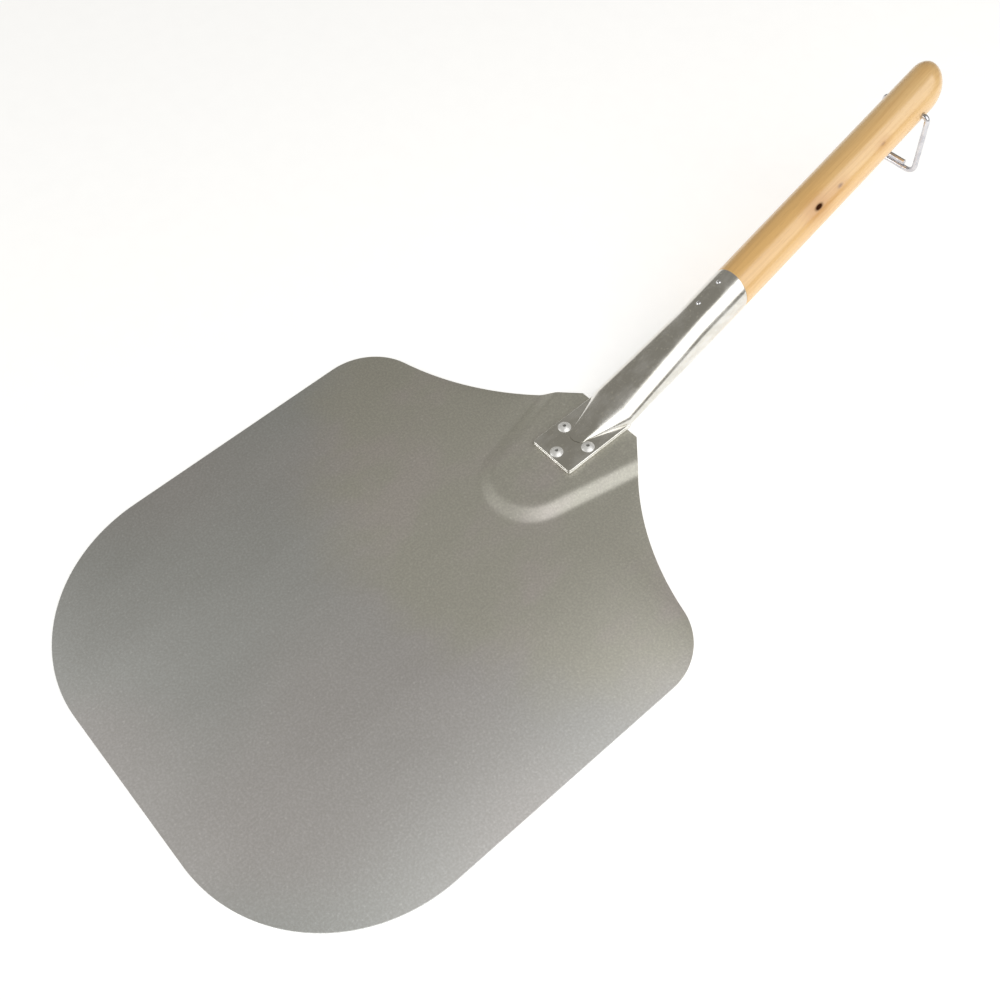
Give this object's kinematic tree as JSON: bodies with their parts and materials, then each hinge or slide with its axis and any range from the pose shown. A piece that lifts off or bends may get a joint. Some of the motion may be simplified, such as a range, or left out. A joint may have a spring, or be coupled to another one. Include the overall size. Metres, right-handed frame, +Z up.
{
  "type": "pizza peel",
  "caption": "Pizza peel with a flat rounded aluminium blade, a riveted tube socket, an angled wooden dowel handle and a swinging wire hanging bail.",
  "frame": {"origin": "middle of the blade's flat underside, halfway between its front edge and the neck's rear edge", "axes": "+X across the blade, +Y along the blade towards the handle, +Z up out of the blade's working face"},
  "size_m": [0.3556, 0.7388, 0.1266],
  "materials": {
    "blade_aluminium": "satin, fine brushed grain along the blade",
    "socket_aluminium": "polished",
    "handle_wood": "clear gloss lacquer on honey-coloured softwood",
    "bail_wire": "bright plated",
    "rivet_aluminium": "bright",
    "fastener_steel": "dull broken end",
    "nail_steel": "bright round head"
  },
  "bodies": {
    "peel": {"blade": "blade_aluminium", "socket": "socket_aluminium", "handle": "handle_wood", "rivet_body_left": "rivet_aluminium", "rivet_body_right": "rivet_aluminium", "rivet_body_front": "rivet_aluminium", "rivet_mandrel_left": "fastener_steel", "rivet_mandrel_right": "fastener_steel", "rivet_mandrel_front": "fastener_steel", "handle_nail_front": "nail_steel", "handle_nail_rear": "nail_steel"},
    "bail": {"hanging_bail": "bail_wire"}
  },
  "joints": [
    {"name": "bail_swing", "type": "hinge", "parent": "peel", "child": "bail", "pos_m": [0, 0.49925, 0.10428], "axis": [1, 0, 0], "range_deg": [-47, 264]}
  ]
}
